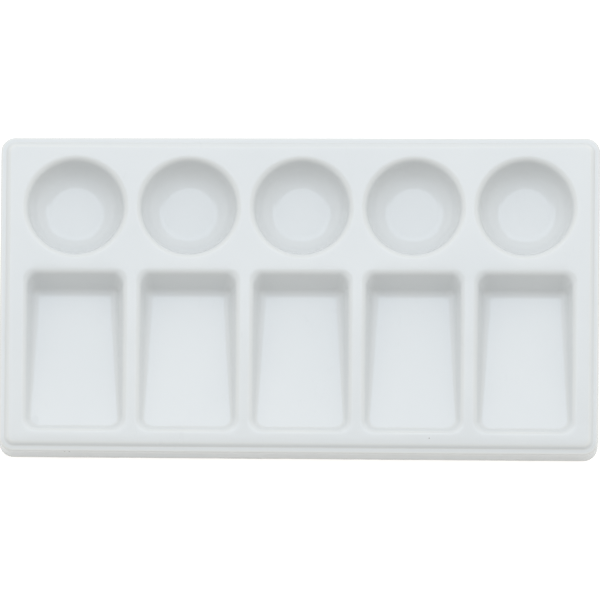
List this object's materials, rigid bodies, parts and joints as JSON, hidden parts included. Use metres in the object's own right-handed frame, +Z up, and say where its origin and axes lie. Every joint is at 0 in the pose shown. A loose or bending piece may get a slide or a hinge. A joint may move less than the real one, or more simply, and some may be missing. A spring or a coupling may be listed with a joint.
{
  "type": "mixing palette",
  "caption": "White glazed china mixing palette: a row of round bowls behind a row of slanted wells on a raised plateau with a stepped shoulder.",
  "frame": {"origin": "middle of the footprint, on the plane that the foot ring stands on", "axes": "+Z up; +X along the rows of wells, to the right; +Y from the slanted wells towards the round bowls, so the front edge faces -Y"},
  "size_m": [0.215, 0.116, 0.013],
  "materials": {
    "bisque": "unglazed fired porcelain, slightly rough",
    "glaze": "glossy white glaze, faintly cool"
  },
  "bodies": {
    "root": {"porcelain_body": "bisque", "glaze_top": "glaze", "glaze_underside": "glaze"}
  },
  "joints": []
}
